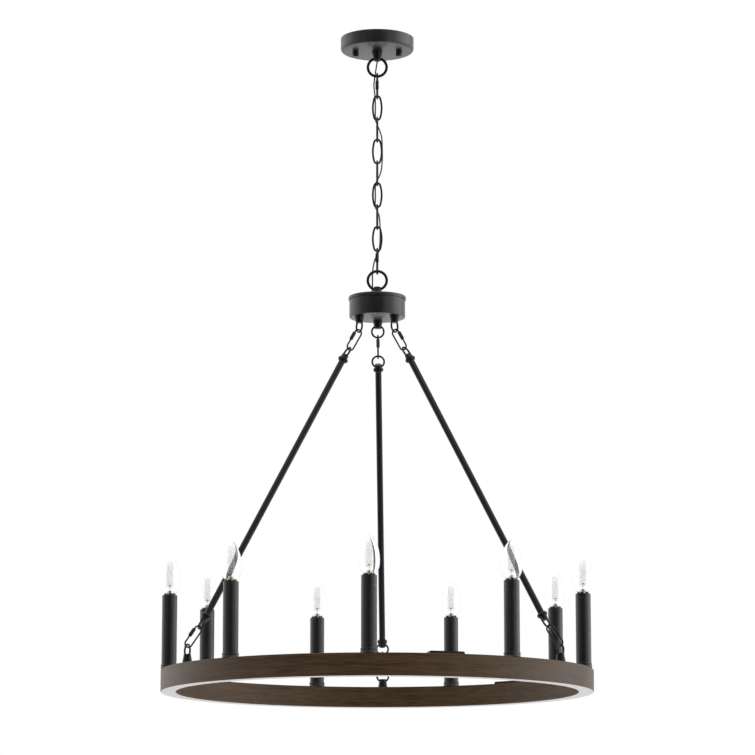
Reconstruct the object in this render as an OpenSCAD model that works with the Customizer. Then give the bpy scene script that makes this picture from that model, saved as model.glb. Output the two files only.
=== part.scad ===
// Wagon wheel chandelier: a wood-grain ring with nine candle lamps, hung by three
// rods from a small drum hub, which hangs by a chain from a round ceiling canopy.
// Millimetres. The origin is the centre of the ceiling plane, and +Z points up.

/* [Ceiling canopy] */
// Outside diameter of the canopy
canopy_d = 124; // [110:1:160]
// Height of the canopy below the ceiling
canopy_h = 22; // [20:1:40]
// Radius of the canopy's rounded lower edge
canopy_edge_r = 4.5; // [2:0.5:8]
// Thickness of the canopy's sheet
canopy_wall = 1.2; // [0.8:0.1:2]
// Distance between the two knobs
knob_spacing = 74; // [60:1:84]
// Diameter of a knob
knob_d = 10.7; // [8:0.1:14]
// Height of a knob below the canopy
knob_h = 9.2; // [7:0.1:16]
// Distance between the two ceiling box screws
box_screw_spacing = 88.9; // [80:0.1:92]
// Width of the slots for the ceiling box screws
box_slot_w = 4.6; // [4:0.1:6]
// Length of the slots for the ceiling box screws, end to end
box_slot_len = 10; // [7:1:12]

/* [Large loops] */
// Outside diameter of the ring of the canopy loop and of the hub loop
loop_od = 36.5; // [30:0.5:44]
// Wire diameter of these rings
loop_wire = 4.7; // [4:0.1:6]
// Distance from a loop's mounting face to its ring's centre
loop_drop = 27.8; // [24:0.1:34]
// Diameter of the loop's collar where it meets the sheet
loop_collar_d = 18.4; // [16:0.1:24]
// Diameter of the collar's mouth
loop_mouth_d = 11.8; // [10:0.1:14]
// Height of the collar
loop_collar_h = 16.5; // [12:0.1:20]

/* [Chain] */
// Outside length of a chain link
chain_len = 45; // [40:0.5:52]
// Outside width of a chain link
chain_w = 18.3; // [16:0.1:22]
// Wire diameter of a chain link
chain_wire = 3.4; // [3:0.1:4]
// Outside length of a quick link on the chain
chain_ql_len = 46.2; // [42:0.1:54]
// Outside width of a quick link on the chain
chain_ql_w = 16; // [14:0.5:20]
// Gap between two pieces that hang in each other
hang_gap = 0.3; // [0.2:0.05:0.5]
// Diameter of the power cord
cord_d = 2.4; // [2:0.1:3]

/* [Hub] */
// Diameter of the hub's body
hub_d = 93.6; // [84:0.1:110]
// Diameter of the hub's lid
lid_d = 96.5; // [88:0.1:116]
// Height of the lid's skirt
lid_skirt = 6; // [4:0.5:8]
// Height of the hub with its lid
hub_h = 36.3; // [30:0.1:44]
// Radius of the circle on which the three hub eyes sit
hub_eye_r = 34; // [28:0.5:36]

/* [Legs] */
// Outside diameter of the small eyes' rings
eye_od = 23.4; // [20:0.1:28]
// Wire diameter of the small eyes' rings
eye_wire = 3.2; // [2.6:0.1:4]
// Distance from the hub's floor to the centre of a hub eye's ring
hub_eye_drop = 17.2; // [16:0.1:24]
// Distance from the wheel's top face to the centre of a wheel eye's ring
wheel_eye_drop = 19.7; // [16:0.1:24]
// Diameter of a small eye's collar where it meets the sheet
eye_collar_d = 16.4; // [14:0.1:20]
// Diameter of the collar's mouth
eye_mouth_d = 11.4; // [10:0.1:13]
// Distance from the collar's mouth to the ring's centre
eye_mouth_gap = 5.4; // [4:0.1:7]
// Outside length of a small quick link
leg_ql_len = 43; // [40:0.5:50]
// Outside width of a small quick link
leg_ql_w = 14.6; // [13:0.1:18]
// Wire diameter of a small quick link
leg_ql_wire = 2.7; // [2.4:0.1:3.2]
// Lean from the vertical of the line between the upper quick link's pivots
upper_lean = 33.5; // [28:0.5:36]
// Lean from the vertical of the line between the lower quick link's pivots
lower_lean = 38.5; // [32:0.5:42]
// Diameter of a support rod
rod_d = 10.5; // [8:0.5:12]
// Diameter of the bead on a rod's end
bead_d = 17.4; // [14:0.1:20]

/* [Wheel] */
// Outside diameter of the ring
ring_d = 711.2; // [600:0.1:900]
// Width of the ring's section
ring_w = 25.4; // [22:0.1:40]
// Height of the ring's section
ring_h = 35.4; // [30:0.1:50]
// Wall thickness of the hollow section
ring_wall = 1.5; // [1:0.1:3]
// Height of the ring's top face below the ceiling
ring_top_drop = 1076.6; // [1070:0.1:1084]
// Arc length of a splice plate
splice_len = 56; // [40:1:70]
// Thickness of a splice plate
splice_t = 3.8; // [3:0.1:5]

/* [Candles] */
// Diameter of the candle cup at its foot and lip
cup_d = 27.2; // [26.6:0.1:30]
// Height of the candle cup
cup_h = 7; // [6:0.5:12]
// Outside diameter of the candle sleeve
sleeve_d = 24.8; // [22:0.1:25]
// Height of the sleeve's top above the ring
sleeve_top = 120; // [100:1:140]
// Diameter of the lamp socket
socket_d = 20.2; // [18:0.1:20.6]
// Height of the socket's rim above the sleeve
socket_rim = 2; // [1:0.1:6]
// Largest diameter of the lamp's glass
glass_d = 33.6; // [30:0.1:36]
// Height of the lamp's glass above the socket's rim
glass_h = 62.2; // [54:0.1:66]
// Height of the glass's widest place above the socket's rim
glass_belly = 21; // [18:0.5:26]

/* [Hidden] */
$fn = 48;

// Colours
black = [0.05, 0.05, 0.055];
zinc = [0.7, 0.7, 0.68];
wood = [0.24, 0.17, 0.11];
brass = [0.8, 0.62, 0.25];
glass = [0.92, 0.95, 0.96, 0.35];
connector = [0.85, 0.45, 0.1];

// Azimuths, in degrees from the front (-Y) towards +X
candle_azimuths = [for (i = [0:8]) 40 * i];
left = -60;
right = 60.3;
back = 180.5;
splice_azimuths = [20, 140, 260];

// Canopy and mounting plate
canopy_r = canopy_d / 2;
canopy_floor = -canopy_h;
plate_t = 2;
plate_arm_w = 16;
plate_arm_x = knob_spacing / 2 + 9;
plate_arm_y = 54;
stud_d = 4;
stud_reach = 5.5;
stud_end = canopy_floor - stud_reach;
knob_hole_spare = 0.8;
stud_nut_w = 7;
stud_nut_h = 3.2;
clearance = 0.3;

// Large loops
loop_line_r = (loop_od - loop_wire) / 2;
stem_d = 9.9;
stem_len = 11;
stem_bore_d = 5.2;
locknut_w = 16;
locknut_h = 4;
canopy_loop_z = canopy_floor - loop_drop;

// Chain. Each hang_ value is the height of a wire on which the next piece hangs.
// An end arc meets a side arc where both stand at this sine and cosine from the X axis
link_sin = 0.28;
link_cos = 0.96;
link_r_step = (chain_len - chain_w) / 2 / (link_sin - 1 + link_cos);
link_end_r = (chain_w - chain_wire) / 2 - (1 - link_cos) * link_r_step;
chain_pitch = chain_len - 2 * chain_wire - hang_gap;
hang_top = canopy_loop_z - loop_line_r;
top_link_z = hang_top + (loop_wire - chain_ql_len) / 2 + chain_wire + hang_gap;
hang_link = top_link_z - (chain_ql_len - chain_wire) / 2;
first_link_z = hang_link + 1.5 * chain_wire + hang_gap - chain_len / 2;
links = 7;
hang_bottom = hang_link - links * chain_pitch;
bottom_link_z = hang_bottom + 1.5 * chain_wire + hang_gap - chain_ql_len / 2;
hang_hub = bottom_link_z - (chain_ql_len - chain_wire) / 2;
chain_nut_w = 5.6;
chain_nut_len = 16;
top_nut_offset = 0;
bottom_nut_offset = 4.6;

// Hub
hub_loop_z = hang_hub + (chain_wire + loop_wire) / 2 + hang_gap - loop_line_r;
hub_top = hub_loop_z - loop_drop;
hub_floor = hub_top - hub_h;
hub_wall = 1.2;
hub_edge_r = 1.5;
lid_edge_r = 2;
lid_fit = 0.1;
bushing_x = -9.5;
bushing_y = 10;
bushing_d = 6.4;
bushing_flange_d = 8.4;
bushing_flange_h = 1.2;

// Small eyes and legs
eye_line_r = (eye_od - eye_wire) / 2;
eye_stud_d = 6;
eye_stud_len = 11;
eye_nut_w = 10;
eye_nut_h = 5;
weld_gap = 0.15;
open_pivot_gap = 0.9;
ring_top = -ring_top_drop;
wheel_r = (ring_d - ring_w) / 2;
leg_nut_w = 5.6;
leg_nut_len = 15.5;
leg_nut_offset = 4.3;
gate_gap = 5.5;
gate_overlap = 2;
// A link stands this much steeper than the line between its pivots
link_tilt = 2.5;
hub_hang_x = hub_eye_r;
hub_hang_z = hub_floor - hub_eye_drop - eye_line_r;
wheel_hang_x = wheel_r;
wheel_hang_z = ring_top + wheel_eye_drop + eye_line_r;
leg_reach = leg_ql_len - 2 * leg_ql_wire - eye_wire - weld_gap;
upper_reach = leg_reach - hang_gap;
lower_reach = leg_reach - open_pivot_gap;
rod_top_x = hub_hang_x + upper_reach * sin(upper_lean);
rod_top_z = hub_hang_z - upper_reach * cos(upper_lean);
rod_foot_x = wheel_hang_x - lower_reach * sin(lower_lean);
rod_foot_z = wheel_hang_z + lower_reach * cos(lower_lean);
rod_lean = atan2(rod_foot_x - rod_top_x, rod_top_z - rod_foot_z);
rod_len = norm([rod_foot_x - rod_top_x, rod_top_z - rod_foot_z]);
neck_start = 14.9;
neck_d = 12.6;
bead_start = 20.9;
bead_h = 6.6;
rod_stud_d = 6;
rod_stud_len = 5;
rod_fit = 0.05;

// Wheel
ring_r = ring_d / 2;
ring_edge = 0.8;
splice_w = 20;
splice_bevel = 2.5;
splice_screw_d = 3.6;
splice_screw_head_d = 7;
splice_screw_head_h = 1.8;
splice_screw_len = 10;
splice_screw_steps = [-3.5, -1.5, 1.5, 3.5];
splice_span = splice_len / wheel_r * 180 / PI;

// Candles
cup_foot = 1.5;
cup_lip_h = 1.5;
cup_lip_edge = 0.4;
cup_waist_d = sleeve_d + 1.4;
sleeve_wall = 1.2;
post_d = 9.5;
post_bore_d = 6.5;
post_nut_w = 14;
post_nut_h = 4;
post_below = 7.5;
socket_len = 48;
socket_floor = 5;
socket_bore_d = 13;
notch_depth = 2.1;
notch_span = 30;
sleeve_z = ring_top + sleeve_top;
socket_z = sleeve_z + socket_rim;
lamp_cap_d = 11.8;
lamp_cap_len = 24;
lamp_cap_rise = 2.4;
lamp_neck_r = 6.2;
lamp_neck_depth = 0.4;
rim_gap = 0.3;
glass_wall = 0.8;
glass_steps = 12;

// The power cord's route, from the wire nut in the canopy to the wire nut in the hub
cord_route = [
    [0, 18.7, -15.2], [0, 12, -12], [0, 4.5, -7], [0, 0, -11], [0, 0, -24], [0, 0, -38],
    [-1.5, 1.5, -48], [-3.4, 4, -60], [-4.6, 4.4, -68], [-5.8, 4.2, -80], [-4.8, 4, -92],
    [-3.6, 3.6, -104], [-3.3, 3.4, -122], [-3.2, 3.2, -140], [0, 3.1, -150],
    [4, 3.3, -160], [7.4, 4, -172], [8.3, 4, -190], [8.3, 4, -211], [6.6, 3.6, -229],
    [3.6, 3.1, -239], [0, 3, -246], [-3.2, 3.2, -254], [-3.3, 3.4, -272],
    [-3.3, 3.1, -291.5], [0, 2.95, -300], [3.4, 3.3, -310], [4.6, 3.8, -328],
    [4.7, 3.8, -348], [3.2, 3.3, -367], [0, 2.8, -375], [-4.2, 3.6, -384],
    [-6.8, 4.4, -395], [-8.2, 4.9, -406], [-8.3, 5, -418], [-8.3, 5.4, -430],
    [-9.2, 8.4, -441], [-9.5, 10, -448], [-9.2, 13, -462], [-8.3, 17, -472],
    [-8, 15.4, -477], [-8, 11.3, -477.4]
];
cord_sides = 8;
cord_ring_gap = 8.5;

function arc(x, y, r, from, to, n) =
    [for (i = [0:n]) let (a = from + (to - from) * i / n) [x + r * cos(a), y + r * sin(a)]];

// Smooth curve through route points p0..p3, at t between p1 and p2
function spline_point(p0, p1, p2, p3, t) =
    (2 * p1 + (p2 - p0) * t + (2 * p0 - 5 * p1 + 4 * p2 - p3) * t * t
    + (3 * p1 - 3 * p2 + p3 - p0) * t * t * t) / 2;

function spline(points, gap) = let (last = len(points) - 1) concat(
    [for (i = [0:last - 1]) let (steps = ceil(norm(points[i + 1] - points[i]) / gap))
        for (s = [0:steps - 1])
            spline_point(points[max(i - 1, 0)], points[i], points[i + 1],
                points[min(i + 2, last)], s / steps)],
    [points[last]]
);

function unit(v) = v / norm(v);

// Direction of a path at point i
function heading(path, i) =
    unit(path[min(i + 1, len(path) - 1)] - path[max(i - 1, 0)]);

// Half outline of the lamp's glass, as [radius, height above the socket's rim]
function glass_radius(z, belly_r) = z < glass_belly
    ? belly_r * sqrt(1 - pow((glass_belly - z) / (glass_belly + 1.5), 3))
    : belly_r * pow(1 - pow((z - glass_belly) / (glass_h - glass_belly), 2), 0.67);

function glass_outline(wall) = let (foot = rim_gap + wall) concat(
    [for (i = [0:glass_steps]) let (z = foot + (glass_belly - foot) * i / glass_steps)
        [glass_radius(z, glass_d / 2) - wall, z]],
    [for (i = [1:glass_steps - 1]) let (
            s = sin(90 * i / glass_steps),
            z = glass_belly + (glass_h - glass_belly) * s)
        [max(glass_radius(z, glass_d / 2) - wall, 1), z - wall * s * s]]
);

// Turns a shape drawn with +X outward to an azimuth counted from the front
module at_azimuth(azimuth) {
    rotate([0, 0, azimuth - 90]) children();
}

// A closed round ring of wire in the XZ plane, or in the YZ plane when side is true
module wire_ring(line_r, wire, side = false) {
    rotate([90, 0, side ? 90 : 0])
    rotate_extrude()
    translate([line_r, 0])
    circle(d = wire);
}

// Part of a wire ring in the XZ plane, from one angle for a span of degrees
module wire_arc(line_r, wire, from, span) {
    rotate([90, 0, 0])
    rotate([0, 0, from])
    rotate_extrude(angle = span)
    translate([line_r, 0])
    circle(d = wire);
}

// A loop fitting: collar, ring and threaded stem, hanging down from z = 0
module loop_fitting() {
    difference() {
        union() {
            translate([0, 0, -loop_collar_h])
            cylinder(h = loop_collar_h, d1 = loop_mouth_d, d2 = loop_collar_d);
            cylinder(h = stem_len, d = stem_d);
            translate([0, 0, -loop_drop])
            wire_ring(loop_line_r, loop_wire);
        }
        translate([0, 0, -loop_collar_h - 1])
        cylinder(h = loop_collar_h + stem_len + 2, d = stem_bore_d);
    }
}

// An eye bolt: collar, ring across X and threaded stud, hanging down from z = 0
module eye_bolt(drop) {
    collar_h = drop - eye_mouth_gap;
    translate([0, 0, -collar_h])
    cylinder(h = collar_h, d1 = eye_mouth_d, d2 = eye_collar_d);
    cylinder(h = eye_stud_len, d = eye_stud_d);
    translate([0, 0, -drop])
    wire_ring(eye_line_r, eye_wire, side = true);
}

// A hexagonal nut with its lower face at z = 0
module hex_nut(across, h, bore) {
    difference() {
        cylinder(h = h, d = across / cos(30), $fn = 6);
        translate([0, 0, -1])
        cylinder(h = h + 2, d = bore);
    }
}

// The wire of a quick link in the XZ plane. Its gate, on the +X side, is open.
module quick_link_wire(length, width, wire, nut_len, nut_offset) {
    line_r = (width - wire) / 2;
    straight = length / 2 - wire / 2 - line_r;
    gate_top = nut_offset + nut_len / 2 - gate_overlap;
    translate([0, 0, straight])
    wire_arc(line_r, wire, 0, 180);
    translate([0, 0, -straight])
    wire_arc(line_r, wire, 180, 180);
    translate([-line_r, 0, -straight])
    cylinder(h = 2 * straight, d = wire);
    translate([line_r, 0, gate_top])
    cylinder(h = straight - gate_top, d = wire);
    translate([line_r, 0, -straight])
    cylinder(h = straight + gate_top - gate_gap, d = wire);
}

// The barrel nut that closes a quick link's gate
module barrel_nut(width, wire, across, nut_len, nut_offset) {
    corner = across / cos(30);
    chamfer = corner * 0.18;
    translate([(width - wire) / 2, 0, nut_offset - nut_len / 2])
    intersection() {
        hex_nut(across, nut_len, wire + 0.2);
        rotate_extrude()
        polygon([
            [0, 0], [corner / 2 - chamfer, 0], [corner / 2, 1.5 * chamfer],
            [corner / 2, nut_len - 1.5 * chamfer], [corner / 2 - chamfer, nut_len], [0, nut_len]
        ]);
    }
}

// The part of a wire ring in the XZ plane that lies inside an outline
module ring_inside(line_r, wire, outline) {
    intersection() {
        wire_ring(line_r, wire);
        rotate([90, 0, 0])
        linear_extrude(height = 2 * wire, center = true)
        polygon(outline);
    }
}

// An oval chain link in the XZ plane: two end arcs joined by two flat side arcs
module oval_link() {
    end_z = link_sin * link_r_step;
    side_x = link_cos * link_r_step;
    reach = 100;
    for (end = [0, 1])
        mirror([0, 0, end])
        translate([0, 0, end_z])
        ring_inside(link_end_r, chain_wire, [
            [0, 0], [reach * link_cos, reach * link_sin],
            [0, reach], [-reach * link_cos, reach * link_sin]
        ]);
    for (side = [0, 1])
        mirror([side, 0, 0])
        translate([-side_x, 0, 0])
        ring_inside(link_r_step + link_end_r, chain_wire, [
            [0, 0], [reach * link_cos, -reach * link_sin],
            [reach * link_cos, reach * link_sin]
        ]);
}

// A wire nut lying along Y on the floor at height z
module wire_nut(x, y, z) {
    translate([x, y, z])
    rotate([-90, 0, 0])
    cylinder(h = 22, d1 = 11, d2 = 8);
}

module mounting_plate() {
    color(zinc)
    difference() {
        translate([0, 0, -plate_t])
        union() {
            translate([-plate_arm_x, -plate_arm_w / 2, 0])
            cube([2 * plate_arm_x, plate_arm_w, plate_t]);
            translate([-plate_arm_w / 2, -plate_arm_y, 0])
            cube([plate_arm_w, 2 * plate_arm_y, plate_t]);
        }
        for (side = [-1, 1]) {
            translate([side * knob_spacing / 2, 0, -plate_t - 1])
            cylinder(h = plate_t + 2, d = stud_d + 0.1);
            translate([0, side * box_screw_spacing / 2, -plate_t - 1])
            box_slot(plate_t + 2);
        }
    }
}

// A slot along Y with round ends, centred on the origin
module box_slot(h) {
    reach = (box_slot_len - box_slot_w) / 2;
    for (end = [-1, 1])
        translate([0, end * reach, 0])
        cylinder(h = h, d = box_slot_w);
    translate([-box_slot_w / 2, -reach, 0])
    cube([box_slot_w, 2 * reach, h]);
}

module mounting_studs() {
    color(zinc)
    for (side = [-1, 1])
        translate([side * knob_spacing / 2, 0, 0]) {
            translate([0, 0, stud_end])
            cylinder(h = -stud_end, d = stud_d);
            translate([0, 0, -plate_t - stud_nut_h])
            hex_nut(stud_nut_w, stud_nut_h, stud_d + 0.1);
        }
}

// The canopy is a spun pan: outside outline down and round, inside outline back
module canopy() {
    outer_c = canopy_r - canopy_edge_r;
    inner_r = canopy_edge_r - canopy_wall;
    color(black)
    difference() {
        rotate_extrude($fn = 96)
        polygon(concat(
            [[canopy_r - canopy_wall, 0], [canopy_r, 0]],
            [for (p = arc(outer_c, canopy_floor + canopy_edge_r, canopy_edge_r, 0, -90, 6)) p],
            [[0, canopy_floor], [0, canopy_floor + canopy_wall]],
            [for (p = arc(outer_c, canopy_floor + canopy_edge_r, inner_r, -90, 0, 6)) p]
        ));
        translate([0, 0, canopy_floor - 1])
        cylinder(h = canopy_wall + 2, d = stem_d + clearance);
        for (side = [-1, 1])
            translate([side * knob_spacing / 2, 0, canopy_floor - 1])
            cylinder(h = canopy_wall + 2, d = stud_d + 2 * clearance);
    }
}

module canopy_loop() {
    color(black)
    translate([0, 0, canopy_floor])
    loop_fitting();
}

module canopy_locknut() {
    color(zinc)
    translate([0, 0, canopy_floor + canopy_wall])
    hex_nut(locknut_w, locknut_h, stem_d + 0.1);
}

module ceiling_wire_nuts() {
    color(connector)
    for (x = [-14, 0, 14])
        wire_nut(x, 19, canopy_floor + canopy_wall + 5.6);
}

// The cord is one tube of flat-sided rings along the route
module power_cord() {
    path = spline(cord_route, cord_ring_gap);
    n = len(path);
    ring_points = [for (i = [0:n - 1]) let (
            t = heading(path, i), u = unit(cross(t, [1, 0, 0])), v = cross(t, u))
        for (k = [0:cord_sides - 1]) let (a = 360 * k / cord_sides)
            path[i] + cord_d / 2 * (cos(a) * u + sin(a) * v)];
    walls = [for (i = [0:n - 2]) for (k = [0:cord_sides - 1]) let (
            a = i * cord_sides + k,
            b = i * cord_sides + (k + 1) % cord_sides,
            c = a + cord_sides,
            d = b + cord_sides)
        each [[a, d, b], [a, c, d]]];
    last = (n - 1) * cord_sides;
    start_cap = [for (k = [1:cord_sides - 2]) [0, k, k + 1]];
    end_cap = [for (k = [1:cord_sides - 2]) [last, last + k + 1, last + k]];
    color(black)
    polyhedron(points = ring_points, faces = concat(walls, start_cap, end_cap));
}

// A knob with a blind threaded hole for the stud, on the side given as -1 or 1
module knob(side) {
    edge = 0.8;
    color(black)
    translate([side * knob_spacing / 2, 0, canopy_floor - knob_h])
    difference() {
        rotate_extrude()
        polygon([
            [0, 0], [knob_d / 2 - edge, 0], [knob_d / 2, edge],
            [knob_d / 2, knob_h], [0, knob_h]
        ]);
        translate([0, 0, knob_h - stud_reach - knob_hole_spare])
        cylinder(h = knob_h, d = stud_d + 0.1);
    }
}

module knob_left() {
    knob(-1);
}

module knob_right() {
    knob(1);
}

// A chain quick link or its nut, in the YZ plane with its gate to the front
module chain_quick_link(z, nut_offset) {
    color(black)
    translate([0, 0, z])
    rotate([0, 0, -90])
    quick_link_wire(chain_ql_len, chain_ql_w, chain_wire, chain_nut_len, nut_offset);
}

module chain_quick_link_nut(z, nut_offset) {
    color(black)
    translate([0, 0, z])
    rotate([0, 0, -90])
    barrel_nut(chain_ql_w, chain_wire, chain_nut_w, chain_nut_len, nut_offset);
}

module top_link() {
    chain_quick_link(top_link_z, top_nut_offset);
}

module top_link_nut() {
    chain_quick_link_nut(top_link_z, top_nut_offset);
}

// Odd links lie face-on in the XZ plane, and even links edge-on in the YZ plane
module chain_link(number) {
    color(black)
    translate([0, 0, first_link_z - (number - 1) * chain_pitch])
    rotate([0, 0, number % 2 == 0 ? 90 : 0])
    oval_link();
}

module bottom_link() {
    chain_quick_link(bottom_link_z, bottom_nut_offset);
}

module bottom_link_nut() {
    chain_quick_link_nut(bottom_link_z, bottom_nut_offset);
}

// The lid is a cap whose skirt fits over the body
module hub_lid() {
    lid_r = lid_d / 2;
    skirt_in = hub_d / 2 + lid_fit;
    color(black)
    difference() {
        rotate_extrude($fn = 96)
        polygon(concat(
            [[0, hub_top]],
            [for (p = arc(lid_r - lid_edge_r, hub_top - lid_edge_r, lid_edge_r, 90, 0, 5)) p],
            [
                [lid_r, hub_top - lid_skirt], [skirt_in, hub_top - lid_skirt],
                [skirt_in, hub_top - hub_wall], [0, hub_top - hub_wall]
            ]
        ));
        translate([0, 0, hub_top - hub_wall - 1])
        cylinder(h = hub_wall + 2, d = stem_d + clearance);
        translate([bushing_x, bushing_y, hub_top - hub_wall - 1])
        cylinder(h = hub_wall + 2, d = bushing_d + 0.1);
    }
}

// The body is a cup with three holes in its floor for the eye bolts
module hub_body() {
    body_r = hub_d / 2;
    edge_c = body_r - hub_edge_r;
    color(black)
    difference() {
        rotate_extrude($fn = 96)
        polygon(concat(
            [[body_r - hub_wall, hub_top - hub_wall], [body_r, hub_top - hub_wall]],
            [for (p = arc(edge_c, hub_floor + hub_edge_r, hub_edge_r, 0, -90, 4)) p],
            [
                [0, hub_floor], [0, hub_floor + hub_wall],
                [body_r - hub_wall, hub_floor + hub_wall]
            ]
        ));
        for (azimuth = [left, right, back])
            at_azimuth(azimuth)
            translate([hub_eye_r, 0, hub_floor - 1])
            cylinder(h = hub_wall + 2, d = eye_stud_d + clearance);
    }
}

module hub_loop() {
    color(black)
    translate([0, 0, hub_top])
    mirror([0, 0, 1])
    loop_fitting();
}

module hub_locknut() {
    color(zinc)
    translate([0, 0, hub_top - hub_wall - locknut_h])
    hex_nut(locknut_w, locknut_h, stem_d + 0.1);
}

module cord_bushing() {
    color(black)
    translate([bushing_x, bushing_y, hub_top])
    difference() {
        union() {
            cylinder(h = bushing_flange_h, d = bushing_flange_d);
            translate([0, 0, -hub_wall - 1])
            cylinder(h = hub_wall + 1, d = bushing_d);
        }
        translate([0, 0, -hub_wall - 2])
        cylinder(h = hub_wall + bushing_flange_h + 3, d = cord_d + 1.4);
    }
}

module hub_eyes() {
    color(black)
    for (azimuth = [left, right, back])
        at_azimuth(azimuth)
        translate([hub_eye_r, 0, hub_floor])
        eye_bolt(hub_eye_drop);
}

module hub_eye_nuts() {
    color(zinc)
    for (azimuth = [left, right, back])
        at_azimuth(azimuth)
        translate([hub_eye_r, 0, hub_floor + hub_wall])
        hex_nut(eye_nut_w, eye_nut_h, eye_stud_d + 0.1);
}

module hub_wire_nuts() {
    color(connector)
    for (x = [-8, 8])
        translate([x, 11, hub_floor + hub_wall + 5.6])
        rotate([90, 0, 0])
        cylinder(h = 22, d1 = 11, d2 = 8);
}

// Places children, drawn as a small quick link, as a leg's upper link
module upper_link_place(azimuth) {
    top = leg_ql_wire + eye_wire / 2 + hang_gap;
    at_azimuth(azimuth)
    translate([hub_hang_x, 0, hub_hang_z])
    rotate([0, -upper_lean, 0])
    translate([0, 0, top - leg_ql_len / 2])
    rotate([0, link_tilt, 0])
    children();
}

// Places children, drawn as a small quick link, as a leg's lower link
module lower_link_place(azimuth) {
    foot = leg_ql_wire + eye_wire / 2 + open_pivot_gap;
    at_azimuth(azimuth)
    translate([wheel_hang_x, 0, wheel_hang_z])
    rotate([0, -lower_lean, 0])
    translate([0, 0, leg_ql_len / 2 - foot])
    rotate([0, link_tilt, 0])
    children();
}

module leg_link_wire() {
    quick_link_wire(leg_ql_len, leg_ql_w, leg_ql_wire, leg_nut_len, leg_nut_offset);
}

module leg_link_nut() {
    barrel_nut(leg_ql_w, leg_ql_wire, leg_nut_w, leg_nut_len, leg_nut_offset);
}

module leg_links(azimuth) {
    color(black) {
        upper_link_place(azimuth) leg_link_wire();
        lower_link_place(azimuth) leg_link_wire();
    }
}

// One end fitting of a support rod, hanging down from the middle of its eye's wire
module rod_end() {
    translate([0, 0, -eye_line_r])
    wire_ring(eye_line_r, eye_wire, side = true);
    difference() {
        rotate_extrude()
        polygon(concat(
            [[0, -neck_start], [eye_mouth_d / 2, -neck_start], [neck_d / 2, -bead_start]],
            arc(bead_d / 2 - bead_h / 2, -bead_start - bead_h / 2, bead_h / 2, 90, -90, 8),
            [[0, -bead_start - bead_h]]
        ));
        translate([0, 0, -bead_start - bead_h - 1])
        cylinder(h = rod_stud_len + rod_fit + 1, d = rod_stud_d + 2 * rod_fit);
    }
}

// The rod between its two end fittings, with a threaded stud that stands in each
module support_rod(azimuth) {
    fitting_len = bead_start + bead_h;
    color(black)
    at_azimuth(azimuth)
    translate([rod_top_x, 0, rod_top_z])
    rotate([0, -rod_lean, 0]) {
        rod_end();
        translate([0, 0, -rod_len])
        mirror([0, 0, 1])
        rod_end();
        translate([0, 0, fitting_len + rod_fit - rod_len])
        cylinder(h = rod_len - 2 * fitting_len - 2 * rod_fit, d = rod_d);
        translate([0, 0, fitting_len - rod_stud_len - rod_len])
        cylinder(h = rod_len - 2 * fitting_len + 2 * rod_stud_len, d = rod_stud_d);
    }
}

module leg_upper_nut(azimuth) {
    color(black)
    upper_link_place(azimuth) leg_link_nut();
}

module leg_lower_nut(azimuth) {
    color(black)
    lower_link_place(azimuth) leg_link_nut();
}

// A third of the ring: a hollow box section with holes in its top wall
module ring_section(number) {
    start = splice_azimuths[number - 1];
    inner = ring_r - ring_w;
    color(wood)
    difference() {
        rotate([0, 0, start - 90])
        rotate_extrude(angle = 120, $fn = 180)
        difference() {
            polygon([
                [inner + ring_edge, ring_top], [ring_r - ring_edge, ring_top],
                [ring_r, ring_top - ring_edge], [ring_r, ring_top - ring_h + ring_edge],
                [ring_r - ring_edge, ring_top - ring_h], [inner + ring_edge, ring_top - ring_h],
                [inner, ring_top - ring_h + ring_edge], [inner, ring_top - ring_edge]
            ]);
            translate([inner + ring_wall, ring_top - ring_h + ring_wall])
            square([ring_w - 2 * ring_wall, ring_h - 2 * ring_wall]);
        }
        for (azimuth = candle_azimuths)
            top_hole(azimuth, post_d + clearance);
        for (azimuth = [left, right, back])
            top_hole(azimuth, eye_stud_d + clearance);
        for (azimuth = splice_azimuths)
            for (step = splice_screw_steps)
                top_hole(azimuth + step, splice_screw_d + 0.1);
    }
}

// A hole through the ring's top wall
module top_hole(azimuth, d) {
    at_azimuth(azimuth)
    translate([wheel_r, 0, ring_top - ring_wall - 1])
    cylinder(h = ring_wall + 2, d = d);
}

module ring_eyes() {
    color(black)
    for (azimuth = [left, right, back])
        at_azimuth(azimuth)
        translate([wheel_r, 0, ring_top])
        mirror([0, 0, 1])
        eye_bolt(wheel_eye_drop);
}

module ring_eye_nuts() {
    color(zinc)
    for (azimuth = [left, right, back])
        at_azimuth(azimuth)
        translate([wheel_r, 0, ring_top - ring_wall - eye_nut_h])
        hex_nut(eye_nut_w, eye_nut_h, eye_stud_d + 0.1);
}

// A splice plate follows the ring and has bevelled ends and countersunk holes
module splice_plates() {
    color(black)
    for (azimuth = splice_azimuths)
        difference() {
            rotate([0, 0, azimuth - splice_span / 2 - 90])
            rotate_extrude(angle = splice_span, $fn = 180)
            translate([wheel_r - splice_w / 2, ring_top])
            square([splice_w, splice_t]);
            for (side = [-1, 1])
                at_azimuth(azimuth + side * splice_span / 2)
                translate([wheel_r, 0, ring_top + splice_t])
                rotate([45, 0, 0])
                cube([splice_w + 4, splice_bevel, splice_bevel], center = true);
            for (step = splice_screw_steps)
                at_azimuth(azimuth + step)
                translate([wheel_r, 0, ring_top + splice_t])
                splice_screw_shape(0.05);
        }
}

// A countersunk screw, head face at z = 0, grown by fit on every radius
module splice_screw_shape(fit) {
    translate([0, 0, -splice_screw_head_h])
    cylinder(
        h = splice_screw_head_h,
        d1 = splice_screw_d + 2 * fit, d2 = splice_screw_head_d + 2 * fit
    );
    translate([0, 0, -splice_screw_len])
    cylinder(h = splice_screw_len, d = splice_screw_d + 2 * fit);
}

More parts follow.
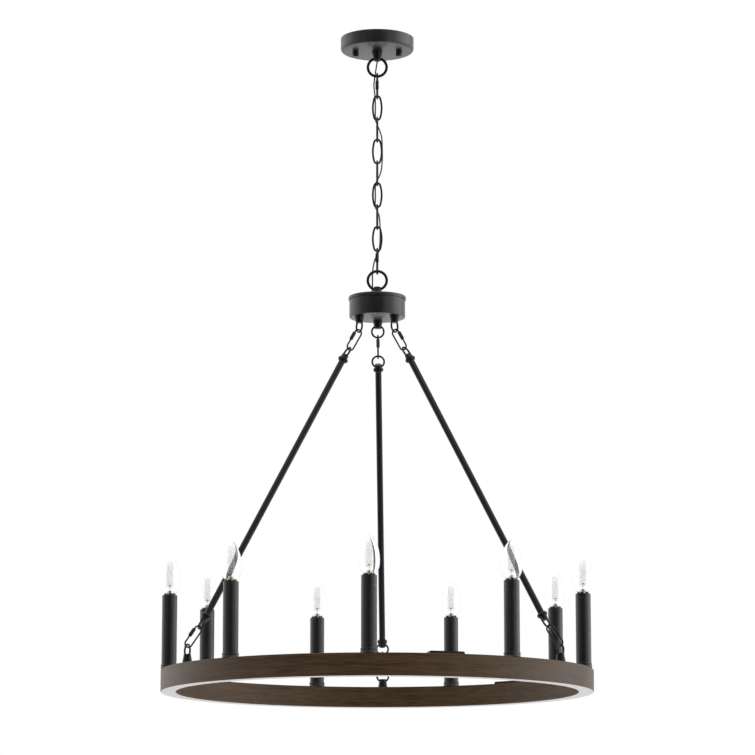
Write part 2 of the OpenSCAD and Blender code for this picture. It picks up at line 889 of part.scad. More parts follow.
module splice_screws() {
    color(black)
    for (azimuth = splice_azimuths)
        for (step = splice_screw_steps)
            at_azimuth(azimuth + step)
            translate([wheel_r, 0, ring_top + splice_t])
            splice_screw_shape(0);
}

// Draws children once at each candle's place on the ring
module at_candles() {
    for (azimuth = candle_azimuths)
        at_azimuth(azimuth)
        translate([wheel_r, 0, 0])
        children();
}

// Turned cups with a waist between foot and lip, each bored for a sleeve and a post
module candle_cups() {
    bore_r = (post_d + clearance) / 2;
    seat_r = sleeve_d / 2 + 0.1;
    cup_top = ring_top + cup_h;
    color(black)
    at_candles()
    rotate_extrude()
    polygon([
        [bore_r, ring_top], [cup_d / 2, ring_top], [cup_d / 2, ring_top + cup_lip_h],
        [cup_waist_d / 2, ring_top + 1.5 * cup_lip_h],
        [cup_waist_d / 2, cup_top - 1.5 * cup_lip_h], [cup_d / 2, cup_top - cup_lip_h],
        [cup_d / 2, cup_top - cup_lip_edge], [cup_d / 2 - cup_lip_edge, cup_top],
        [seat_r, cup_top], [seat_r, ring_top + cup_foot], [bore_r, ring_top + cup_foot]
    ]);
}

module candle_sleeves() {
    color(black)
    at_candles()
    difference() {
        translate([0, 0, ring_top + cup_foot])
        cylinder(h = sleeve_top - cup_foot, d = sleeve_d);
        translate([0, 0, ring_top])
        cylinder(h = sleeve_top + 1, d = sleeve_d - 2 * sleeve_wall);
    }
}

// A lamp socket with a notched rim, open to the top for the lamp's cap
module lamp_sockets() {
    color(black)
    at_candles()
    translate([0, 0, socket_z - socket_len])
    difference() {
        cylinder(h = socket_len, d = socket_d);
        translate([0, 0, socket_floor])
        cylinder(h = socket_len, d = socket_bore_d);
        translate([0, 0, -1])
        cylinder(h = socket_floor + 2, d = post_d);
        for (k = [0:5])
            rotate([0, 0, 60 * k - notch_span / 2])
            translate([0, 0, socket_len - notch_depth])
            rotate_extrude(angle = notch_span)
            translate([socket_bore_d / 2 - 1, 0])
            square([socket_d / 2, notch_depth + 1]);
    }
}

// A hollow threaded post from the ring's inside up to the socket, with its nut
module socket_posts() {
    post_foot = ring_top - post_below;
    post_top = socket_z - socket_len + socket_floor - 1;
    color(zinc)
    at_candles() {
        difference() {
            translate([0, 0, post_foot])
            cylinder(h = post_top - post_foot, d = post_d - 0.1);
            translate([0, 0, post_foot - 1])
            cylinder(h = post_top - post_foot + 2, d = post_bore_d);
        }
        translate([0, 0, ring_top - ring_wall - post_nut_h])
        hex_nut(post_nut_w, post_nut_h, post_d);
    }
}

// A clear torpedo lamp: a hollow glass closed by its screw cap
module bulb(number) {
    azimuth = candle_azimuths[number - 1];
    inside = glass_outline(glass_wall);
    at_azimuth(azimuth)
    translate([wheel_r, 0, socket_z]) {
        color(glass)
        rotate_extrude()
        polygon(concat(
            [[0, -lamp_neck_depth], [lamp_neck_r, -lamp_neck_depth], [lamp_neck_r, rim_gap]],
            glass_outline(0),
            [[0, glass_h], [0, glass_h - glass_wall]],
            [for (i = [len(inside) - 1:-1:0]) inside[i]],
            [[0, rim_gap + glass_wall]]
        ));
        color(brass) {
            translate([0, 0, lamp_cap_rise - lamp_cap_len])
            cylinder(h = lamp_cap_len - lamp_cap_rise, d = lamp_cap_d);
            translate([0, 0, lamp_cap_rise - lamp_cap_len - 3])
            cylinder(h = 3, d1 = 5, d2 = 9);
        }
    }
}

mounting_plate();
mounting_studs();
canopy();
canopy_loop();
canopy_locknut();
ceiling_wire_nuts();
power_cord();
knob_left();
knob_right();
top_link();
top_link_nut();
chain_link(1);  // chain_link_1
chain_link(2);  // chain_link_2
chain_link(3);  // chain_link_3
chain_link(4);  // chain_link_4
chain_link(5);  // chain_link_5
chain_link(6);  // chain_link_6
chain_link(7);  // chain_link_7
bottom_link();
bottom_link_nut();
hub_lid();
hub_body();
hub_loop();
hub_locknut();
cord_bushing();
hub_eyes();
hub_eye_nuts();
hub_wire_nuts();
leg_links(left);  // left_leg_links
support_rod(left);  // left_rod
leg_upper_nut(left);  // left_upper_nut
leg_lower_nut(left);  // left_lower_nut
leg_links(right);  // right_leg_links
support_rod(right);  // right_rod
leg_upper_nut(right);  // right_upper_nut
leg_lower_nut(right);  // right_lower_nut
leg_links(back);  // back_leg_links
support_rod(back);  // back_rod
leg_upper_nut(back);  // back_upper_nut
leg_lower_nut(back);  // back_lower_nut
ring_section(1);  // ring_section_1
ring_section(2);  // ring_section_2
ring_section(3);  // ring_section_3
ring_eyes();
ring_eye_nuts();
splice_plates();
splice_screws();
candle_cups();
candle_sleeves();
lamp_sockets();
socket_posts();
bulb(1);  // bulb_1
bulb(2);  // bulb_2
bulb(3);  // bulb_3
bulb(4);  // bulb_4
bulb(5);  // bulb_5
bulb(6);  // bulb_6
bulb(7);  // bulb_7
bulb(8);  // bulb_8
bulb(9);  // bulb_9
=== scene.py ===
import math

import bmesh
import bpy
from mathutils import Matrix, Vector


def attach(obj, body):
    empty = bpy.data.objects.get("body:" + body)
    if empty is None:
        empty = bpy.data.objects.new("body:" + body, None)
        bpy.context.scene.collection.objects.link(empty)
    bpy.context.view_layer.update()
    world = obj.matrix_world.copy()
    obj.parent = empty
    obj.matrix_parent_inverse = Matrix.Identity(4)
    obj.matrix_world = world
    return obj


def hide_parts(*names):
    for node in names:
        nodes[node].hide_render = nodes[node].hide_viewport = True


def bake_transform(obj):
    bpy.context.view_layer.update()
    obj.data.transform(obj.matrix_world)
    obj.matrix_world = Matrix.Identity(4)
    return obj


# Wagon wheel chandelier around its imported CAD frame. Metres, +Z up, the ceiling plane at z = 0.
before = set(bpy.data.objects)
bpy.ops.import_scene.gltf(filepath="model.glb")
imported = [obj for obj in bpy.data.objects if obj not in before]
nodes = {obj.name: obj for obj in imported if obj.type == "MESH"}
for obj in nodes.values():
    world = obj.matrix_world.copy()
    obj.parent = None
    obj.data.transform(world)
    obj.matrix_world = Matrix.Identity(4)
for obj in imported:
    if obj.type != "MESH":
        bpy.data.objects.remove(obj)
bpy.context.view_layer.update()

# --- Camera ---------------------------------------------------------------------------------
# The photograph was taken from 5.2 m away, a little to the right of the middle and below the
# wheel, looking up by ten degrees. The camera stands at the same place with the same lens.
camera_turn = math.radians(2.12)
camera_distance = 5.19307
camera_height = -1.504
camera_pitch = math.radians(10.028)
camera_focal_length = 150.37
# A quarter of a pixel of a picture 755 pixels wide
camera_side_shift = 0.25 / 755
camera_data = bpy.data.cameras.new("camera")
camera_data.sensor_width = 36
camera_data.lens = camera_focal_length
camera_data.shift_x = camera_side_shift
camera = bpy.data.objects.new("camera", camera_data)
camera.location = (
    camera_distance * math.sin(camera_turn),
    -camera_distance * math.cos(camera_turn),
    camera_height,
)
camera.rotation_euler = (math.radians(90) + camera_pitch, 0, camera_turn)
bpy.context.scene.collection.objects.link(camera)
bpy.context.scene.camera = camera

# --- Power cord -----------------------------------------------------------------------------
# A round black lamp cord, 2.4 mm thick. It runs from the wire nuts in the canopy through the
# canopy loop, weaves down the chain and goes through the lid into the hub. It is cut into lengths
# where it passes each hanging piece; the first goes with the canopy and the last with the hub.
cord_thickness = 0.0024
# The cord's middle line from top to bottom, in millimetres
cord_route = [
    (0, 18.7, -15.2), (0, 12, -12), (0, 4.5, -7), (0, 0, -11), (0, 0, -24), (0, 0, -38),
    (-1.5, 1.5, -48), (-3.4, 4, -60), (-4.6, 4.4, -68), (-5.8, 4.2, -80), (-4.8, 4, -92),
    (-3.6, 3.6, -104), (-3.3, 3.4, -122), (-3.2, 3.2, -140), (0, 3.1, -150),
    (4, 3.3, -160), (7.4, 4, -172), (8.3, 4, -190), (8.3, 4, -211), (6.6, 3.6, -229),
    (3.6, 3.1, -239), (0, 3, -246), (-3.2, 3.2, -254), (-3.3, 3.4, -272),
    (-3.3, 3.1, -291.5), (0, 2.95, -300), (3.4, 3.3, -310), (4.6, 3.8, -328),
    (4.7, 3.8, -348), (3.2, 3.2, -367), (0, 2.8, -375), (-4.2, 3.6, -384),
    (-6.8, 4.4, -395), (-8.2, 4.9, -406), (-8.3, 5, -418), (-8.3, 5.4, -430),
    (-9.2, 8.4, -441), (-9.5, 10, -448), (-9.2, 13, -462), (-8.3, 17, -472),
    (-8, 15.4, -477), (-8, 11.3, -477.4),
]
# The bodies that the cord passes, and the height in millimetres at which it passes each
cord_stations = [
    ("canopy", -48), ("top_link", -85), ("link_1", -121.25), ("link_2", -159.15),
    ("link_3", -197.05), ("link_4", -234.95), ("link_5", -272.85), ("link_6", -310.75),
    ("link_7", -348.65), ("bottom_link", -387), ("hub", -432),
]


def new_material(name):
    """A material with its shader, and the object coordinates that its patterns use."""
    material = bpy.data.materials.new(name)
    material.use_nodes = True
    tree = material.node_tree
    place = tree.nodes.new("ShaderNodeTexCoord").outputs["Object"]
    return material, tree, tree.nodes["Principled BSDF"], place


def noise(tree, place, scale, detail=2.0):
    """Cloudy noise whose spots are about 1 / scale metres wide."""
    texture = tree.nodes.new("ShaderNodeTexNoise")
    texture.inputs["Scale"].default_value = scale
    texture.inputs["Detail"].default_value = detail
    tree.links.new(place, texture.inputs["Vector"])
    return texture.outputs["Fac"]


def spread(tree, value, low, high, start=0.35, stop=0.65):
    """Maps a noise value from start..stop to low..high."""
    ranged = tree.nodes.new("ShaderNodeMapRange")
    ranged.inputs["From Min"].default_value = start
    ranged.inputs["From Max"].default_value = stop
    ranged.inputs["To Min"].default_value = low
    ranged.inputs["To Max"].default_value = high
    tree.links.new(value, ranged.inputs["Value"])
    return ranged.outputs["Result"]


def two_tone(tree, value, dark, light):
    """A colour between dark and light, picked by a value. Each is a colour or a node output."""
    mix = tree.nodes.new("ShaderNodeMix")
    mix.data_type = "RGBA"
    factor, first, second = (socket for socket in mix.inputs if socket.enabled)
    tree.links.new(value, factor)
    for socket, colour in ((first, dark), (second, light)):
        if isinstance(colour, tuple):
            socket.default_value = (*colour, 1)
        else:
            tree.links.new(colour, socket)
    return next(socket for socket in mix.outputs if socket.enabled)


def bump(tree, shader, height, depth, strength=1.0):
    """Raises the surface by up to depth metres where the height value is high."""
    node = tree.nodes.new("ShaderNodeBump")
    node.inputs["Distance"].default_value = depth
    node.inputs["Strength"].default_value = strength
    tree.links.new(height, node.inputs["Height"])
    tree.links.new(node.outputs["Normal"], shader.inputs["Normal"])


def smooth_route(points, step):
    """Points about step apart on a smooth curve through the route."""
    line = []
    for i in range(len(points) - 1):
        before, a, b = points[max(i - 1, 0)], points[i], points[i + 1]
        after = points[min(i + 2, len(points) - 1)]
        count = math.ceil((b - a).length / step)
        for k in range(count):
            t = k / count
            line.append(
                (2 * a + (b - before) * t + (2 * before - 5 * a + 4 * b - after) * t ** 2
                 + (3 * a - 3 * b + after - before) * t ** 3) / 2
            )
    return line + [points[-1]]


def tube(name, line, thickness):
    """A closed round tube along a line, as a mesh."""
    curve = bpy.data.curves.new(name, "CURVE")
    curve.dimensions = "3D"
    curve.bevel_depth = thickness / 2
    curve.bevel_resolution = 6
    curve.use_fill_caps = True
    spline = curve.splines.new("POLY")
    spline.points.add(len(line) - 1)
    for point, place in zip(spline.points, line):
        point.co = (*place, 1)
    source = bpy.data.objects.new(name, curve)
    mesh = bpy.data.meshes.new_from_object(source)
    bpy.data.objects.remove(source)
    bpy.data.curves.remove(curve)
    mesh.name = name
    for face in mesh.polygons:
        face.use_smooth = len(face.vertices) == 4
    made = bpy.data.objects.new(name, mesh)
    bpy.context.scene.collection.objects.link(made)
    return made


cord_sheath, tree, shader, place = new_material("cord_sheath")
clouds = noise(tree, place, 300)
tree.links.new(
    two_tone(tree, clouds, (0.007, 0.007, 0.008), (0.013, 0.013, 0.014)),
    shader.inputs["Base Color"],
)
tree.links.new(spread(tree, clouds, 0.42, 0.52), shader.inputs["Roughness"])
bump(tree, shader, noise(tree, place, 2500), 0.00003)

cord_line = smooth_route([Vector(point) / 1000 for point in cord_route], 0.0025)
cuts = [0]
for body, height in cord_stations:
    cuts.append(min(
        i for i in range(cuts[-1], len(cord_line)) if cord_line[i].z < height / 1000
    ))
cuts.append(len(cord_line) - 1)
for number, (first, last) in enumerate(zip(cuts, cuts[1:])):
    line = cord_line[first:last + 1]
    piece = tube("cord_length_%d" % (number + 1), line, cord_thickness)
    piece.data.materials.append(cord_sheath)
    if number == 0:
        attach(piece, "canopy")
    elif number == len(cuts) - 2:
        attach(piece, "hub")
    else:
        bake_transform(piece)
    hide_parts("power_cord")

# --- Mounting plate and studs ---------------------------------------------------------------
# A flat steel cross, zinc plated, which two screws hold to the ceiling box. Two studs stand in
# it, each locked by a nut, and the canopy's knobs screw onto them.


def rounded_normals():
    """Node group that shades a mesh smooth, with creases where faces meet at over 30 degrees."""
    group = bpy.data.node_groups.new("rounded_normals", "GeometryNodeTree")
    group.interface.new_socket("Geometry", in_out="INPUT", socket_type="NodeSocketGeometry")
    group.interface.new_socket("Geometry", in_out="OUTPUT", socket_type="NodeSocketGeometry")
    start = group.nodes.new("NodeGroupInput")
    stop = group.nodes.new("NodeGroupOutput")
    merge = group.nodes.new("GeometryNodeMergeByDistance")
    merge.inputs["Distance"].default_value = 0.00001
    angle = group.nodes.new("GeometryNodeInputMeshEdgeAngle")
    sharp = group.nodes.new("FunctionNodeCompare")
    sharp.operation = "GREATER_THAN"
    sharp.inputs["B"].default_value = math.radians(30)
    faces = group.nodes.new("GeometryNodeSetShadeSmooth")
    edges = group.nodes.new("GeometryNodeSetShadeSmooth")
    edges.domain = "EDGE"
    edges.inputs["Shade Smooth"].default_value = False
    links = group.links
    links.new(start.outputs[0], merge.inputs[0])
    links.new(merge.outputs[0], faces.inputs["Geometry"])
    links.new(faces.outputs[0], edges.inputs["Geometry"])
    links.new(angle.outputs["Unsigned Angle"], sharp.inputs["A"])
    links.new(sharp.outputs[0], edges.inputs["Selection"])
    links.new(edges.outputs[0], stop.inputs[0])
    return group


crease_at_30 = rounded_normals()


def dress(names, material):
    """Gives CAD nodes their material and soft shading."""
    for name in names:
        node = nodes[name]
        if not node.material_slots:
            node.data.materials.append(None)
        for slot in node.material_slots:
            slot.material = material
        node.modifiers.new("soft_shading", "NODES").node_group = crease_at_30


zinc, tree, shader, place = new_material("zinc_plate")
shader.inputs["Metallic"].default_value = 1
spots = noise(tree, place, 120, 6)
tree.links.new(
    two_tone(tree, spots, (0.34, 0.35, 0.34), (0.52, 0.52, 0.50)), shader.inputs["Base Color"]
)
tree.links.new(spread(tree, spots, 0.28, 0.42), shader.inputs["Roughness"])
bump(tree, shader, noise(tree, place, 900, 4), 0.00002)
dress(["mounting_plate", "mounting_studs"], zinc)

# --- Canopy, its loop and knobs -------------------------------------------------------------
# The canopy is spun from steel sheet. Its loop is a die-cast collar with a closed ring. All of
# it is powder coated in satin black, with the fine orange peel that such a coat has.


def powder_coat(name, dark, light, smooth, rough, shine=0.5):
    """Satin powder coat: cloudy colour, uneven gloss and fine orange peel."""
    material, tree, shader, place = new_material(name)
    clouds = noise(tree, place, 60, 5)
    tree.links.new(two_tone(tree, clouds, dark, light), shader.inputs["Base Color"])
    gloss = noise(tree, place, 140, 3)
    tree.links.new(spread(tree, gloss, smooth, rough), shader.inputs["Roughness"])
    shader.inputs["Specular IOR Level"].default_value = shine
    bump(tree, shader, noise(tree, place, 1400, 3), 0.00004)
    return material


satin_black = powder_coat(
    "satin_black_coat", (0.006, 0.006, 0.0065), (0.011, 0.011, 0.0115), 0.30, 0.38
)
dress(["canopy", "knob_left", "knob_right"], satin_black)
# The same black, a little duller, as it comes out on castings, wires and rods
dull_black = powder_coat(
    "dull_black_coat", (0.004, 0.004, 0.0045), (0.008, 0.008, 0.0085), 0.32, 0.40, 0.22
)
dress(["canopy_loop"], dull_black)
dress(["canopy_locknut"], zinc)

# --- Wire nuts ------------------------------------------------------------------------------
# Moulded orange plastic caps that twist onto the joined wires, three in the canopy and two in
# the hub.
orange, tree, shader, place = new_material("orange_moulding")
tree.links.new(
    two_tone(tree, noise(tree, place, 200, 3), (0.72, 0.19, 0.02), (0.82, 0.26, 0.035)),
    shader.inputs["Base Color"],
)
shader.inputs["Roughness"].default_value = 0.35
bump(tree, shader, noise(tree, place, 1200), 0.00003)
dress(["ceiling_wire_nuts", "hub_wire_nuts"], orange)

# --- Chain ----------------------------------------------------------------------------------
# Seven oval links of bent 3.4 mm steel wire between two quick links, each closed by a barrel
# nut. The wire has the duller black coat of the loops.
chain_nodes = ["chain_link_%d" % k for k in range(1, 8)]
dress(["top_link", "top_link_nut", *chain_nodes, "bottom_link", "bottom_link_nut"], dull_black)

# --- Hub ------------------------------------------------------------------------------------
# A shallow spun cup with a lid that fits over it. The loop on the lid is the canopy loop turned
# over, and three eye bolts go through the floor.
dress(["hub_lid", "hub_body"], satin_black)
dress(["hub_loop", "hub_eyes"], dull_black)
dress(["hub_locknut", "hub_eye_nuts"], zinc)
dress(["cord_bushing"], cord_sheath)

# --- Legs -----------------------------------------------------------------------------------
# Each leg is a steel rod with a bead, a cone and an eye at both ends, hung between two small
# quick links.
leg_parts = ["leg_links", "rod", "upper_nut", "lower_nut"]
dress([side + "_" + part for side in ("left", "right", "back") for part in leg_parts], dull_black)

# --- Ring -----------------------------------------------------------------------------------
# Three thirds of a hollow rectangular steel section, rolled to a circle. The coat on its sides
# and top imitates brown wood with the grain along the circle, and the underside is painted pale
# as a painted floor reflection.
wheel_radius = 0.3429
# Turns the jump of the angle onto a joint between two sections
joint_turn = math.radians(10)
wood, tree, shader, place = new_material("wood_grain_coat")


def maths(tree, operation, *values):
    """One step of arithmetic on node outputs or plain numbers."""
    node = tree.nodes.new("ShaderNodeMath")
    node.operation = operation
    for socket, value in zip(node.inputs, values):
        if isinstance(value, (int, float)):
            socket.default_value = value
        else:
            tree.links.new(value, socket)
    return node.outputs["Value"]


def grain(tree, along, across, down, length, width, detail):
    """Noise stretched along the circle, with streaks of this length and width in metres."""
    vector = tree.nodes.new("ShaderNodeCombineXYZ")
    tree.links.new(maths(tree, "MULTIPLY", along, 1 / length), vector.inputs["X"])
    tree.links.new(maths(tree, "MULTIPLY", across, 1 / width), vector.inputs["Y"])
    tree.links.new(maths(tree, "MULTIPLY", down, 1 / width), vector.inputs["Z"])
    return noise(tree, vector.outputs["Vector"], 1, detail)


# The pattern follows the distance along the circle, the distance from its middle and the height
turned = tree.nodes.new("ShaderNodeMapping")
turned.inputs["Rotation"].default_value = (0, 0, joint_turn)
tree.links.new(place, turned.inputs["Vector"])
split = tree.nodes.new("ShaderNodeSeparateXYZ")
tree.links.new(turned.outputs["Vector"], split.inputs["Vector"])
x, y, down = split.outputs
along = maths(tree, "MULTIPLY", maths(tree, "ARCTAN2", y, x), wheel_radius)
x_squared = maths(tree, "MULTIPLY", x, x)
y_squared = maths(tree, "MULTIPLY", y, y)
across = maths(tree, "SQRT", maths(tree, "ADD", x_squared, y_squared))
bands = spread(tree, grain(tree, along, across, down, 0.12, 0.006, 4), 0, 1)
fibres = spread(tree, grain(tree, along, across, down, 0.035, 0.0011, 5), 0, 1, 0.38, 0.62)
pores = spread(tree, grain(tree, along, across, down, 0.012, 0.0005, 2), 0, 1, 0.58, 0.7)
band_share = maths(tree, "MULTIPLY", bands, 0.35)
tone = maths(tree, "ADD", band_share, maths(tree, "MULTIPLY", fibres, 0.65))
brown = two_tone(tree, tone, (0.030, 0.0150, 0.0048), (0.088, 0.047, 0.0185))
brown = two_tone(tree, maths(tree, "MULTIPLY", pores, 0.6), brown, (0.012, 0.007, 0.004))
# The underside is painted pale: a painted reflection of the bright floor, which it faces at
# grazing angles
facing = tree.nodes.new("ShaderNodeSeparateXYZ")
tree.links.new(tree.nodes["Texture Coordinate"].outputs["Normal"], facing.inputs["Vector"])
painted_reflection_mask = maths(tree, "LESS_THAN", facing.outputs["Z"], -0.9)
painted_floor_reflection = two_tone(tree, fibres, (0.60, 0.575, 0.57), (0.68, 0.655, 0.65))
tree.links.new(two_tone(tree, painted_reflection_mask, brown, painted_floor_reflection), shader.inputs["Base Color"])
tree.links.new(spread(tree, fibres, 0.38, 0.50, 0, 1), shader.inputs["Roughness"])
shader.inputs["Specular IOR Level"].default_value = 0.3
bump(tree, shader, maths(tree, "SUBTRACT", fibres, pores), 0.00008, 0.6)
dress(["ring_section_1", "ring_section_2", "ring_section_3"], wood)

# --- Ring fittings --------------------------------------------------------------------------
# Three eye bolts stand in the ring's top wall, and a black plate with four countersunk screws
# covers each joint.
dress(["ring_eyes", "splice_plates", "splice_screws"], dull_black)
dress(["ring_eye_nuts"], zinc)

# --- Candles --------------------------------------------------------------------------------
# Each candle is a black card sleeve over a tall lamp socket, standing in a turned steel cup. A
# threaded post holds the three together on the ring.
dress(["candle_cups", "candle_sleeves", "lamp_sockets"], satin_black)
dress(["socket_posts"], zinc)

# --- Lamps ----------------------------------------------------------------------------------
# A clear torpedo lamp is a blown glass with a pale glass tube inside, which holds the light
# source. A dark stem in an amber glass foot carries it, and the glass is cemented into a screw
# cap of thin polished brass.
socket_rim = -0.9546
glass_radius = 0.0168
glass_height = 0.0622
belly_height = 0.0228
glass_thickness = 0.0007
# Heights from the socket's rim, which the glass stands on by its short neck
glass_foot = 0.0003
neck_foot = -0.0004
neck_radius = 0.0062
neck_bore = 0.0055
thread_count = 9
thread_pitch = 0.0018
thread_start = -0.004
inner_tube_radius = 0.0056
inner_tube_wall = 0.0005
inner_tube_foot = 0.0100
inner_tube_top = 0.0545
lamp_azimuths = [math.radians(40 * k) for k in range(9)]


def glass_outline(wall):
    """Half outline of the glass, from its foot to near its tip, as (radius, height) points."""
    steps = 16
    outline = []
    for i in range(steps + 1):
        z = glass_foot + wall + (belly_height - glass_foot - wall) * i / steps
        share = (belly_height - z) / (belly_height + 0.0015)
        outline.append((glass_radius * math.sqrt(1 - share ** 3) - wall, z))
    tip_length = glass_height - belly_height - wall
    for i in range(1, 2 * steps):
        rise = math.sin(math.pi / 2 * i / (2 * steps))
        r = glass_radius * (1 - rise ** 2) ** 0.67 - wall
        outline.append((max(r, 0.0003), belly_height + tip_length * rise))
    return outline


def tube_outline(radius, foot, top):
    """Half outline of a tube with rounded ends, from its foot up, as (radius, height) points."""
    turns = [math.radians(15 * k) for k in range(7)]
    return [
        *((radius * math.sin(a), foot + radius - radius * math.cos(a)) for a in turns),
        *((radius * math.cos(a), top - radius + radius * math.sin(a)) for a in turns),
    ]


def turn(shape, outline, segments=48, hollow=False):
    """Adds the closed skin that an outline of (radius, height) points makes round the Z axis."""
    made = bmesh.new()
    corners = [made.verts.new((r, 0, z)) for r, z in outline]
    edges = [made.edges.new(pair) for pair in zip(corners, corners[1:])]
    bmesh.ops.spin(
        made, geom=corners + edges, cent=(0, 0, 0), axis=(0, 0, 1), angle=2 * math.pi,
        steps=segments, use_merge=True,
    )
    bmesh.ops.remove_doubles(made, verts=made.verts, dist=0.000001)
    bmesh.ops.recalc_face_normals(made, faces=made.faces)
    if hollow:
        bmesh.ops.reverse_faces(made, faces=made.faces)
    mesh = bpy.data.meshes.new("turned")
    made.to_mesh(mesh)
    made.free()
    shape.from_mesh(mesh)
    bpy.data.meshes.remove(mesh)


def piece_from(shape, name, material, place=(0, 0, 0), crease=40):
    """Makes an object of a bmesh at its place, smooth but for edges over the crease angle."""
    bmesh.ops.translate(shape, verts=shape.verts, vec=place)
    for face in shape.faces:
        face.smooth = True
    for edge in shape.edges:
        edge.smooth = len(edge.link_faces) == 2 and edge.calc_face_angle() < math.radians(crease)
    mesh = bpy.data.meshes.new(name)
    shape.to_mesh(mesh)
    shape.free()
    mesh.materials.append(material)
    made = bpy.data.objects.new(name, mesh)
    bpy.context.scene.collection.objects.link(made)
    return made


lamp_glass, tree, shader, place = new_material("lamp_glass")
shader.inputs["Base Color"].default_value = (1, 1, 1, 1)
shader.inputs["Transmission Weight"].default_value = 1
shader.inputs["IOR"].default_value = 1.46
tree.links.new(spread(tree, noise(tree, place, 60), 0.0, 0.01), shader.inputs["Roughness"])
bump(tree, shader, noise(tree, place, 40), 0.00001, 0.2)

# The inner tube is faintly milky, so it shows as a pale grey column
pale_glass, tree, shader, place = new_material("pale_inner_glass")
clouds = noise(tree, place, 80, 3)
tree.links.new(
    two_tone(tree, clouds, (0.55, 0.54, 0.54), (0.66, 0.65, 0.65)), shader.inputs["Base Color"]
)
tree.links.new(spread(tree, clouds, 0.09, 0.14), shader.inputs["Alpha"])
shader.inputs["Roughness"].default_value = 0.2

amber_glass, tree, shader, place = new_material("amber_glass_foot")
clouds = noise(tree, place, 300, 3)
tree.links.new(
    two_tone(tree, clouds, (0.72, 0.60, 0.36), (0.86, 0.76, 0.52)), shader.inputs["Base Color"]
)
tree.links.new(spread(tree, clouds, 0.28, 0.40), shader.inputs["Alpha"])
shader.inputs["Roughness"].default_value = 0.1

brass, tree, shader, place = new_material("polished_brass")
shader.inputs["Metallic"].default_value = 1
tree.links.new(
    two_tone(tree, noise(tree, place, 500, 4), (0.66, 0.46, 0.16), (0.84, 0.64, 0.27)),
    shader.inputs["Base Color"],
)
shader.inputs["Roughness"].default_value = 0.12
bump(tree, shader, noise(tree, place, 1500), 0.00001)

filament_wire, tree, shader, place = new_material("filament_wire")
tree.links.new(
    two_tone(tree, noise(tree, place, 900), (0.045, 0.030, 0.012), (0.09, 0.06, 0.025)),
    shader.inputs["Base Color"],
)
shader.inputs["Roughness"].default_value = 0.4

for number, azimuth in enumerate(lamp_azimuths, 1):
    place = (wheel_radius * math.sin(azimuth), -wheel_radius * math.cos(azimuth), socket_rim)
    body = "bulb_%d" % number
    shape = bmesh.new()
    turn(shape, [
        (0, glass_height), *reversed(glass_outline(0)),
        (neck_radius, glass_foot), (neck_radius, neck_foot),
        (neck_bore, neck_foot), (neck_bore, glass_foot + glass_thickness),
        *glass_outline(glass_thickness), (0, glass_height - glass_thickness),
    ])
    envelope = piece_from(shape, "lamp_%d_glass" % number, lamp_glass, place)
    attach(envelope, body)
    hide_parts(body)
    shape = bmesh.new()
    threads = []
    for ring in range(thread_count):
        z = thread_start - thread_pitch * ring
        threads += [(0.0059, z), (0.0059, z - 0.0005), (0.0055, z - 0.0009), (0.0055, z - 0.0013)]
    turn(shape, [
        (0, 0.0007), (0.0050, 0.0007), (0.0052, 0.0005), (0.0052, -0.0006), (0.0059, -0.0007),
        *threads, (0.0050, -0.0210), (0, -0.0210),
    ])
    cap = piece_from(shape, "lamp_%d_cap" % number, brass, place)
    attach(cap, body)
    shape = bmesh.new()
    turn(shape, tube_outline(inner_tube_radius, inner_tube_foot, inner_tube_top), 32)
    inside = tube_outline(
        inner_tube_radius - inner_tube_wall, inner_tube_foot + inner_tube_wall,
        inner_tube_top - inner_tube_wall,
    )
    turn(shape, inside, 32, hollow=True)
    inner_tube = piece_from(shape, "lamp_%d_inner_tube" % number, pale_glass, place)
    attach(inner_tube, body)
    shape = bmesh.new()
    turn(shape, [
        (0, 0.0009), (0.0049, 0.0009), (0.0048, 0.0052), (0.0040, 0.0062), (0, 0.0062),
    ], 32)
    foot = piece_from(shape, "lamp_%d_glass_foot" % number, amber_glass, place)
    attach(foot, body)
    shape = bmesh.new()
    turn(shape, [
        (0, 0.0011), (0.0021, 0.0011), (0.0021, 0.0060), (0.0002, 0.0060), (0.0002, 0.0138),
        (0.0020, 0.0140), (0.0020, 0.0153), (0, 0.0155),
    ], 16)
    button = piece_from(shape, "lamp_%d_filament" % number, filament_wire, place)
    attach(button, body)

# --- Room -----------------------------------------------------------------------------------
# A white floor and a white world, with soft lamps on both sides and above, and a dark screen
# that gives the black coats their shading.
floor_height = -2.4
world_light = 0.6
screen_radius = 12
screen_foot = -2.35
screen_top = 7
screen_left = math.radians(-130)
screen_right = math.radians(32)
screen_sides = 27
floor_glow = 0.45


def seen_directly(tree):
    """1 for rays from the camera, off shiny things or through glass, and 0 for light."""
    path = tree.nodes.new("ShaderNodeLightPath")
    seen = maths(tree, "MAXIMUM", path.outputs["Is Camera Ray"], path.outputs["Is Glossy Ray"])
    return maths(tree, "MAXIMUM", seen, path.outputs["Is Transmission Ray"])


world = bpy.data.worlds.new("room")
bpy.context.scene.world = world
world.use_nodes = True
tree = world.node_tree
background = tree.nodes["Background"]
background.inputs["Color"].default_value = (1, 1, 1, 1)
tree.links.new(
    spread(tree, seen_directly(tree), world_light, 1.0, 0, 1), background.inputs["Strength"]
)


def softbox(name, place, target, size, watts):
    """A square soft lamp at a place, turned to a target."""
    data = bpy.data.lights.new(name, "AREA")
    data.size = size
    data.energy = watts
    lamp = bpy.data.objects.new(name, data)
    lamp.location = place
    lamp.rotation_euler = (Vector(target) - Vector(place)).to_track_quat("-Z", "Y").to_euler()
    bpy.context.scene.collection.objects.link(lamp)


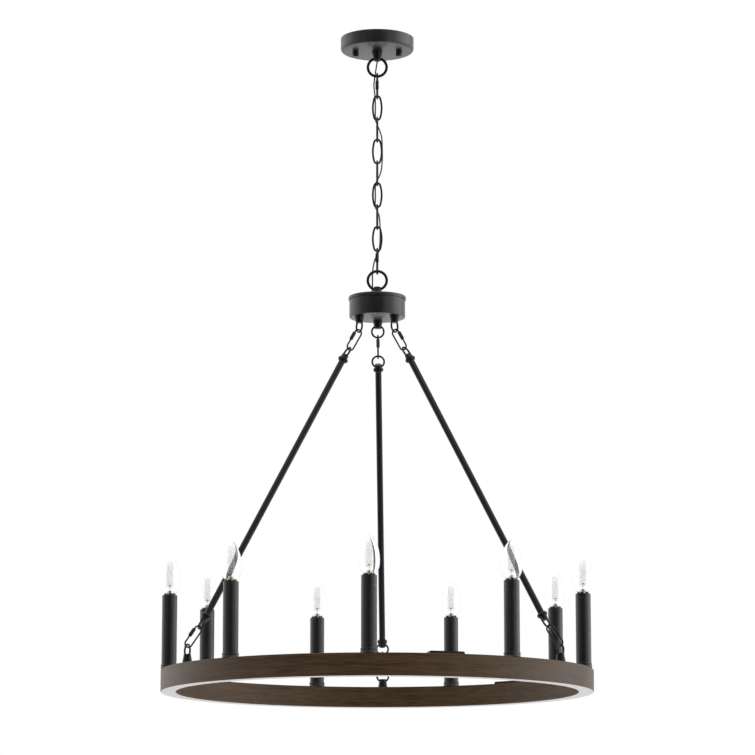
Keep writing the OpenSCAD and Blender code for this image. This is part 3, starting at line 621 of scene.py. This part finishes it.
# The curved screen stands behind the camera, with a sheet on the floor before it, and only
# reflections see them. It fades from black in front to pale grey on the left
screen_paint, tree, shader, place = new_material("screen_paint")
shader.inputs["Base Color"].default_value = (0.01, 0.01, 0.01, 1)
shader.inputs["Emission Color"].default_value = (1, 1, 1, 1)
split = tree.nodes.new("ShaderNodeSeparateXYZ")
tree.links.new(place, split.inputs["Vector"])
turned = maths(
    tree, "ARCTAN2", split.outputs["X"], maths(tree, "MULTIPLY", split.outputs["Y"], -1)
)
tree.links.new(
    spread(tree, turned, 0.85, 0.03, math.radians(-110), math.radians(-12)),
    shader.inputs["Emission Strength"],
)
shape = bmesh.new()
edge_x = screen_radius * math.sin(screen_left)
edge_y = -screen_radius * math.cos(screen_left)
corners = [
    shape.verts.new((0, 0, screen_foot)),
    shape.verts.new((edge_x, edge_y, screen_foot)),
    shape.verts.new((edge_x, edge_y, screen_top)),
]
edges = [shape.edges.new(pair) for pair in zip(corners, corners[1:])]
bmesh.ops.spin(
    shape, geom=corners + edges, cent=(0, 0, 0), axis=(0, 0, 1),
    angle=screen_right - screen_left, steps=screen_sides,
)
bmesh.ops.remove_doubles(shape, verts=shape.verts, dist=0.000001)
screen = piece_from(shape, "dark_screen", screen_paint)
screen.visible_camera = False
screen.visible_diffuse = False
screen.visible_transmission = False
screen.visible_shadow = False

middle = (0, 0, -0.6)
softbox("lamp_left", (-3.5, 1.2, 0.2), middle, 4.0, 35)
softbox("lamp_right", (3.4, 0.4, 0.2), middle, 3.2, 56)
softbox("lamp_above", (0, -0.8, 2.6), middle, 4.0, 70)

# The floor is brightened to white for the camera, and isn't seen at all from below
floor_paint, tree, shader, place = new_material("floor_paint")
shader.inputs["Base Color"].default_value = (0.9, 0.9, 0.9, 1)
shader.inputs["Roughness"].default_value = 0.9
shader.inputs["Emission Color"].default_value = (1, 1, 1, 1)
tree.links.new(
    maths(tree, "MULTIPLY", seen_directly(tree), floor_glow), shader.inputs["Emission Strength"]
)
clear = tree.nodes.new("ShaderNodeBsdfTransparent")
sided = tree.nodes.new("ShaderNodeMixShader")
tree.links.new(tree.nodes.new("ShaderNodeNewGeometry").outputs["Backfacing"], sided.inputs[0])
tree.links.new(shader.outputs[0], sided.inputs[1])
tree.links.new(clear.outputs[0], sided.inputs[2])
tree.links.new(sided.outputs[0], tree.nodes["Material Output"].inputs["Surface"])
shape = bmesh.new()
bmesh.ops.create_grid(shape, x_segments=1, y_segments=1, size=20)
floor = piece_from(shape, "floor", floor_paint, (0, 0, floor_height))

bpy.context.scene.view_settings.view_transform = "Standard"
